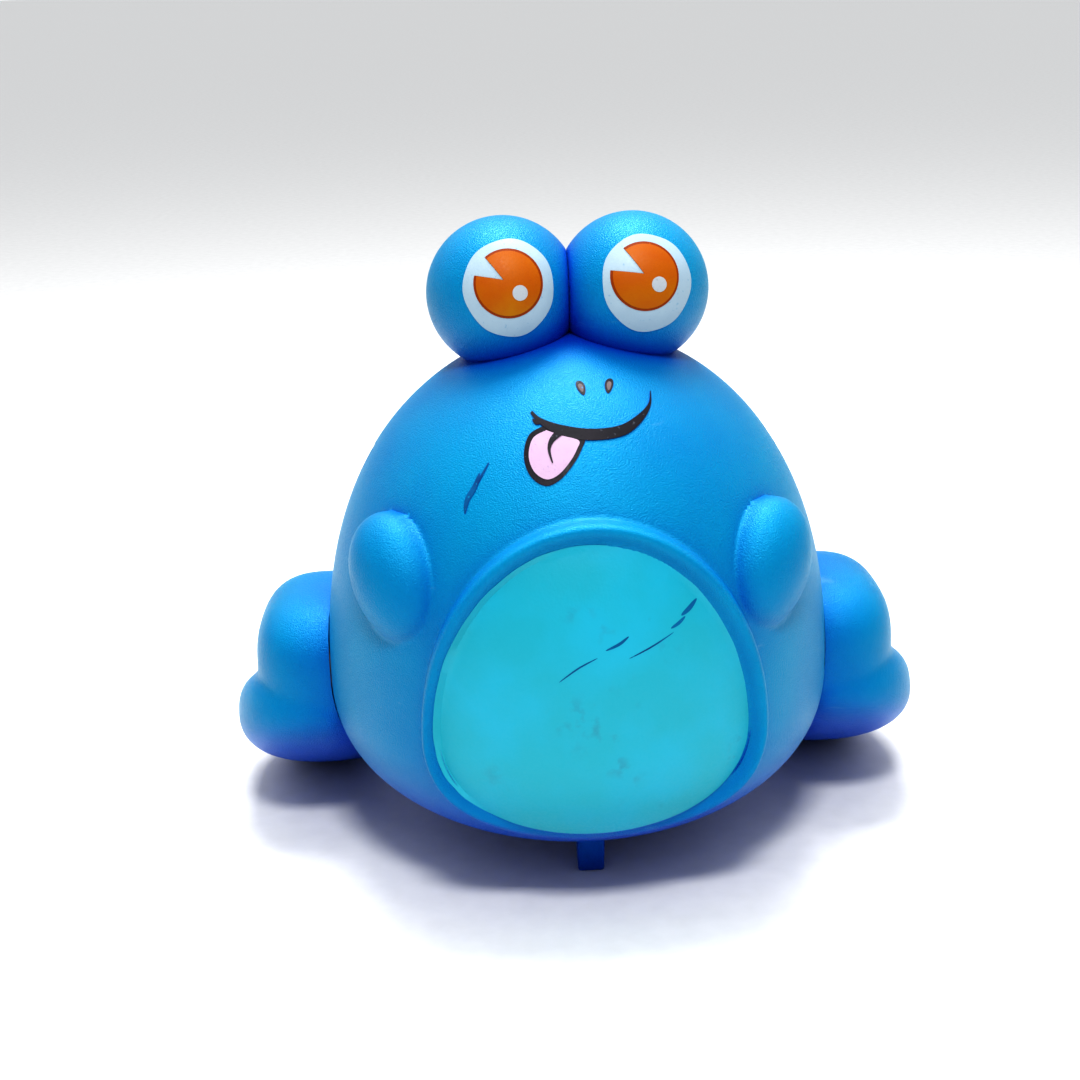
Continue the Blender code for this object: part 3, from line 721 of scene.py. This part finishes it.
def make_eye_prints(side, name, white, edge, orange, light):
    radial_print(f"{name}_white_print", disc_outline(side), (0, 0), on_eye(side, 0.02), white, 16)
    outline = iris_outline(side)
    kernel = (WEDGE_POINT[side][0] + KERNEL_STEP, WEDGE_POINT[side][1] - KERNEL_STEP)
    radial_print(f"{name}_iris_edge_print", outline, kernel, on_eye(side, 0.05), edge, 16)
    inner = [between(kernel, point, IRIS_EDGE) for point in outline]
    radial_print(f"{name}_iris_print", inner, kernel, on_eye(side, 0.075), orange, 16)
    glint = GLINT_CENTRE[side]
    turns = [math.pi * k / 16 for k in range(32)]
    dot = [(glint[0] + GLINT_RADIUS * math.cos(t), glint[1] + GLINT_RADIUS * math.sin(t)) for t in turns]
    radial_print(f"{name}_glint_print", dot, glint, on_eye(side, 0.1), light, 4)


# ---------------------------------------------------------------- legs, peg and knob

def round_form(centre, size, power, rows, columns, tilt=0.0):
    """Points of a squarish ball, tilted about X."""
    def bulge(value):
        return math.copysign(abs(value) ** (2 / power), value)

    points = []
    turned = Matrix.Rotation(tilt, 3, "X")
    for row in range(rows):
        slope = math.pi * (row / (rows - 1) - 0.5) * 0.995
        for column in range(columns):
            turn = 2 * math.pi * column / columns
            local = Vector((size[0] * bulge(math.cos(slope)) * bulge(math.cos(turn)),
                            size[1] * bulge(math.cos(slope)) * bulge(math.sin(turn)),
                            size[2] * bulge(math.sin(slope))))
            points.append(tuple(turned @ local + Vector(centre)))
    return points, capped_faces(rows, columns)


def leg_block(name, low, high, material):
    xs, ys, zs = zip(low, high)
    corners = ((xs[0], ys[0]), (xs[1], ys[0]), (xs[1], ys[1]), (xs[0], ys[1]))
    points = [(x, y, z) for z in zs for x, y in corners]
    faces = [(0, 1, 2, 3), (4, 5, 6, 7), (0, 1, 5, 4), (1, 2, 6, 5), (2, 3, 7, 6), (3, 0, 4, 7)]
    return mesh_piece(name, points, faces, material, "legs", False)


def body_room(material, clearance, swing):
    """The body's form grown by a clearance, as the legs meet it when they have swung by an angle."""
    points = []
    rows, columns = 60, 80
    for row in range(rows):
        slope = math.pi * (row / (rows - 1) - 0.5) * 0.995
        reach, power, sign = (EGG_UP, POWER_UP, 1) if slope > 0 else (EGG_DOWN, POWER_DOWN, -1)
        z = sign * (reach + clearance) * abs(math.sin(slope)) ** (2 / power)
        for column in range(columns):
            turn = 2 * math.pi * column / columns
            x = (EGG_X + clearance) * math.cos(slope) * math.cos(turn)
            y = (EGG_Y + clearance) * math.cos(slope) * math.sin(turn)
            points.append((x, y * math.cos(swing) - z * math.sin(swing),
                           SHAFT_Z + y * math.sin(swing) + z * math.cos(swing)))
    return mesh_piece("body_room", points, capped_faces(rows, columns), material, "legs")


def make_leg(side, name, material):
    """Haunch and foot melted into one moulding with a soft valley between them."""
    (hx, hy, hz), haunch_size, haunch_power = HAUNCH
    (fx, fy, fz), foot_size, foot_power = FOOT
    haunch = round_form((side * hx, hy, hz), haunch_size, haunch_power, 40, 56)
    foot = round_form((side * fx, fy, fz), foot_size, foot_power, 40, 56, -FOOT_TILT)
    offset = len(haunch[0])
    points = haunch[0] + foot[0]
    faces = haunch[1] + [tuple(index + offset for index in face) for face in foot[1]]
    leg = mesh_piece(f"{name}_skin", points, faces, material, "legs")
    melt = leg.modifiers.new("melt", "REMESH")
    melt.mode = "VOXEL"
    melt.voxel_size = LEG_VOXEL * MM
    soften = leg.modifiers.new("soften", "SMOOTH")
    soften.factor = 0.5
    soften.iterations = 4
    apply_modifiers(leg)
    for step in range(LEG_STEPS + 1):
        swing = LEG_SWING * step / LEG_STEPS
        cut_away(leg, body_room(material, SWING_CLEARANCE if step else LEG_CLEARANCE, swing))
    cut_away(leg, leg_block("under_floor", (-FAR, -FAR, -20), (FAR, FAR, 0.0), material))
    low_x, high_x = (-LEG_INNER_X, FAR) if side < 0 else (-FAR, LEG_INNER_X)
    cut_away(leg, leg_block("inner_side", (low_x, -FAR, -30), (high_x, FAR, FAR), material))
    leg.data.shade_smooth()
    leg.data.set_sharp_from_angle(angle=math.radians(40))
    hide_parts(name)


def make_peg(material):
    """Small flat-ended tab under the belly, with softened edges."""
    bm = bmesh.new()
    bmesh.ops.create_cube(bm, size=1.0)
    for vertex in bm.verts:
        taper = 1.0 if vertex.co.z < 0 else PEG_FLARE
        vertex.co.x = PEG_X + PEG_SIZE[0] * taper * vertex.co.x
        vertex.co.y = PEG_Y + PEG_SIZE[1] * taper * vertex.co.y
        vertex.co.z = (vertex.co.z + 0.5) * PEG_SIZE[2]
    bmesh.ops.bevel(bm, geom=list(bm.edges), offset=0.22, segments=3, profile=0.5, affect="EDGES")
    points = [tuple(v.co) for v in bm.verts]
    faces = [tuple(v.index for v in f.verts) for f in bm.faces]
    bm.free()
    peg = mesh_piece("front_peg_skin", points, faces, material, "body")
    peg.data.set_sharp_from_angle(angle=math.radians(50))


def make_knob(material):
    """Fluted knob with rounded edges and a dished end."""
    low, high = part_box("winding_knob")
    centre_z = (low.z + high.z) / 2 / MM
    start = (low.y - AXIS_Y) / MM
    end = (high.y - AXIS_Y) / MM
    radius = (high.x - low.x) / 2 / MM
    flutes = 10
    columns = flutes * 16
    stations = [(start, 2.2, 0), (start, 2.8, 0), (start + 0.2, 3.0, 0), (start + 1.3, 3.0, 0),
                (start + 1.5, 3.2, 0), (start + 1.55, 3.6, 0.1), (start + 1.6, radius - 0.7, 0.4),
                (start + 1.75, radius - 0.3, 0.55), (start + 2.1, radius, 0.6), (end - 0.8, radius, 0.6),
                (end - 0.35, radius - 0.15, 0.55), (end - 0.1, radius - 0.5, 0.45), (end, radius - 0.95, 0.3),
                (end - 0.05, radius - 1.4, 0.1), (end - 0.5, radius - 2.0, 0), (end - 0.6, radius - 2.6, 0),
                (end - 0.6, 0.3, 0)]
    points = []
    for y, r, depth in stations:
        for k in range(columns):
            turn = 2 * math.pi * k / columns
            local = r - depth * (0.5 - 0.5 * math.cos(flutes * turn))
            points.append((local * math.cos(turn), y, centre_z + local * math.sin(turn)))
    faces = capped_faces(len(stations), columns)
    knob = mesh_piece("winding_knob_skin", points, faces, material, "winding_set")
    knob.data.set_sharp_from_angle(angle=math.radians(60))
    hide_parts("winding_knob")


def cut_rear_holes(skin, material):
    """Recesses for the case screws and a hole for the winding arbor."""
    def drill(name, radius, x, y_low, z):
        count = 48
        ring = [(radius * math.cos(2 * math.pi * k / count), radius * math.sin(2 * math.pi * k / count))
                for k in range(count)]
        points = [(x + u, y, z + v) for y in (y_low, 40) for u, v in ring]
        return mesh_piece(name, points, capped_faces(2, count), material, "body")

    for index in (1, 2, 3):
        low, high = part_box(f"case_screw_{index}")
        x = (low.x + high.x) / 2 / MM
        z = (low.z + high.z) / 2 / MM
        head = (high.y - AXIS_Y) / MM - HEAD_DEPTH
        cut_away(skin, drill("head_room", RECESS_RADIUS, x, head, z))
    low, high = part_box("winding_arbor")
    cut_away(skin, drill("arbor_room", ARBOR_ROOM, 0, 5, (low.z + high.z) / 2 / MM))


def make_screw_cups(material):
    """Blind cups behind the recesses, each with a seat round its screw."""
    steps = 40
    for index in (1, 2, 3):
        low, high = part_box(f"case_screw_{index}")
        x = (low.x + high.x) / 2 / MM
        z = (low.z + high.z) / 2 / MM
        seat = (high.y - AXIS_Y) / MM - SEAT_DEPTH
        back = seat - SEAT_THICKNESS
        # Radius and level of each ring; a ring without a level follows the shell's outer surface.
        profile = ((RECESS_RADIUS, None), (RECESS_RADIUS, seat), (SCREW_ROOM, seat), (SCREW_ROOM, back),
                   (CUP_RADIUS, back), (CUP_RADIUS, None))
        points = []
        for radius, level in profile:
            for k in range(steps):
                turn = 2 * math.pi * k / steps
                u, v = x + radius * math.cos(turn), z + radius * math.sin(turn)
                points.append((u, -bare_front_y(u, v) - 0.25 if level is None else level, v))
        faces = grid_faces(6, steps, True)
        faces += [(5 * steps + k, 5 * steps + (k + 1) % steps, (k + 1) % steps, k) for k in range(steps)]
        cup = mesh_piece(f"screw_cup_{index}", points, faces, material, "body")
        cup.data.set_sharp_from_angle(angle=math.radians(40))


# ---------------------------------------------------------------- clockwork finishes

def finish_cad_nodes():
    """Metals and nylon for the CAD nodes that stay; the bushes are bronze darkened almost to black, as
    painted shade where they show in the gap beside the legs.
    """
    steel = metal("rolled_steel", (0.56, 0.57, 0.60), (0.38, 0.38, 0.41), 0.34, (1, 1, 12), 1)
    brass = metal("stamped_brass", (0.80, 0.58, 0.24), (0.55, 0.36, 0.13), 0.32, (8, 1, 1), 5)
    spring = metal("blued_spring_steel", (0.34, 0.37, 0.44), (0.20, 0.22, 0.30), 0.28, (1, 1, 16), 9)
    # The third colour is painted shade, blended in by ambient occlusion in creases and near the floor.
    nylon = moulded_plastic("white_nylon", (0.50, 0.52, 0.52), (0.46, 0.48, 0.48), (0.36, 0.39, 0.42),
                            (0.32, 0.48), 11)
    # Painted shade: the bush metal is darkened almost to black so that it reads as shade in the gap between
    # leg and body.
    bronze_darkened_as_shade = metal("bush_metal_painted_shade", (0.075, 0.055, 0.03), (0.045, 0.03, 0.018), 0.5, (8, 1, 1), 13)
    finishes = {"steel": steel, "brass": brass, "spring_steel": spring, "white_plastic": nylon}
    slots = {part["node"]: part["material_slot"] for part in frame["record"]["subparts"]}
    for node, item in frame["nodes"].items():
        finish = bronze_darkened_as_shade if node.endswith("_bush") else finishes.get(slots[node])
        if finish is not None:
            item.data.materials.clear()
            item.data.materials.append(finish)
    return nylon


# ---------------------------------------------------------------- stage, light and camera

def area_light(name, place, size, power):
    light = bpy.data.lights.new(name, "AREA")
    light.shape = "RECTANGLE"
    light.size, light.size_y = size
    light.energy = power
    item = bpy.data.objects.new(name, light)
    bpy.context.scene.collection.objects.link(item)
    item.location = place
    item.rotation_euler = (Vector(LIGHT_TARGET) - Vector(place)).to_track_quat("-Z", "Y").to_euler()


def make_stage():
    mesh = bpy.data.meshes.new("floor")
    corners = ((-1, -1), (1, -1), (1, 1), (-1, 1))
    mesh.from_pydata([(x * FLOOR_REACH, y * FLOOR_REACH, 0) for x, y in corners], [], [(0, 1, 2, 3)])
    floor = bpy.data.objects.new("floor", mesh)
    bpy.context.scene.collection.objects.link(floor)
    material, tree, shader = node_material("pale_floor")
    tone = ranged(tree, noise(tree, 500, 3), 0.3, 0.7)
    tree.links.new(blend(tree, tone, (0.70, 0.70, 0.70), (0.74, 0.74, 0.74)), shader.inputs["Base Color"])
    shader.inputs["Roughness"].default_value = 0.9
    mesh.materials.append(material)
    make_sky()
    area_light("top_softbox", *TOP_SOFTBOX)
    area_light("front_softbox", *FRONT_SOFTBOX)
    bpy.context.scene.view_settings.view_transform = "Standard"
    bpy.context.scene.view_settings.look = "High Contrast"


def make_sky():
    """White light tent: brightest overhead, paler at the back, and dim on the open front side."""
    world = bpy.data.worlds.new("studio")
    world.use_nodes = True
    tree = world.node_tree
    place = tree.nodes.new("ShaderNodeTexCoord")
    split = tree.nodes.new("ShaderNodeSeparateXYZ")
    tree.links.new(place.outputs["Generated"], split.inputs["Vector"])
    overhead = ranged(tree, split.outputs["Z"], 0.1, 0.95, SKY_FRONT, SKY_TOP)
    behind = ranged(tree, split.outputs["Y"], -0.35, 0.7, 0.0, SKY_BACK)
    total = tree.nodes.new("ShaderNodeMath")
    total.operation = "ADD"
    tree.links.new(overhead, total.inputs[0])
    tree.links.new(behind, total.inputs[1])
    seen = tree.nodes.new("ShaderNodeLightPath")
    cloth = ranged(tree, seen.outputs["Is Camera Ray"], 0, 1, 0, SKY_SEEN)
    shown = tree.nodes.new("ShaderNodeMath")
    shown.operation = "MAXIMUM"
    tree.links.new(total.outputs["Value"], shown.inputs[0])
    tree.links.new(cloth, shown.inputs[1])
    background = tree.nodes["Background"]
    background.inputs["Color"].default_value = (0.98, 0.99, 1.0, 1.0)
    tree.links.new(shown.outputs["Value"], background.inputs["Strength"])
    bpy.context.scene.world = world


def make_camera():
    """A little above the toy and just left of its front, looking down and slightly rolled."""
    camera = bpy.data.cameras.new("camera")
    camera.sensor_width = 36.0
    camera.lens = CAMERA_LENS
    camera.clip_start = 0.005
    camera.clip_end = 20
    item = bpy.data.objects.new("camera", camera)
    bpy.context.scene.collection.objects.link(item)
    item.location = CAMERA_PLACE
    look = Matrix.Rotation(-CAMERA_TURN, 4, "Z") @ Matrix.Rotation(math.pi / 2 - CAMERA_DOWN, 4, "X")
    item.rotation_euler = (look @ Matrix.Rotation(CAMERA_ROLL, 4, "Z")).to_euler()
    bpy.context.scene.camera = item


# ---------------------------------------------------------------- assembly

def main():
    blue = moulded_plastic("blue_moulding", BLUE, BLUE_DEEP, BLUE_PAINTED_SHADE)
    blue_leg = moulded_plastic("blue_leg_moulding", BLUE, BLUE_DEEP, BLUE_PAINTED_SHADE, seed=21)
    ink = print_ink("black_ink", INK, (0.008, 0.008, 0.012), (0.05, 0.055, 0.07), 2)
    white = print_ink("eye_white_ink", EYE_WHITE, (0.30, 0.40, 0.48), (0.24, 0.36, 0.46), 3)
    edge = print_ink("iris_edge_ink", ORANGE_DARK, (0.22, 0.035, 0.001), (0.35, 0.08, 0.001), 5)
    orange = iris_ink()
    light = print_ink("glint_ink", (0.40, 0.43, 0.46), (0.36, 0.40, 0.44), (0.32, 0.34, 0.36), 6)
    pink = print_ink("tongue_pink_ink", PINK, (0.42, 0.29, 0.42), (0.36, 0.26, 0.40), 7)
    nostril = print_ink("nostril_ink", NOSTRIL, (0.10, 0.075, 0.08), (0.02, 0.20, 0.45), 8)
    graze = print_ink("graze_ink", (0.004, 0.045, 0.15), (0.002, 0.12, 0.28), (0.002, 0.26, 0.42), 12)

    front = half_skin("front_shell_skin", True, 400, 340, blue)
    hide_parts("front_shell")
    rear = half_skin("rear_shell_skin", False, 130, 100, blue)
    cut_rear_holes(rear, blue)
    make_screw_cups(blue)
    rear.data.shade_smooth()
    rear.data.set_sharp_from_angle(angle=math.radians(40))
    front.data.set_sharp_from_angle(angle=math.radians(50))
    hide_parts("rear_shell")
    make_peg(blue)
    for side, name in ((-1, "left_eye"), (1, "right_eye")):
        make_ball(side, name, blue)
        make_eye_prints(side, name, white, edge, orange, light)
    for side, name in ((-1, "left_leg"), (1, "right_leg")):
        make_leg(side, name, blue_leg)
    make_belly()
    make_mouth(ink, pink)
    make_nostrils(ink, nostril)
    make_scratches(graze)
    nylon = finish_cad_nodes()
    make_knob(nylon)
    make_stage()
    make_camera()


main()
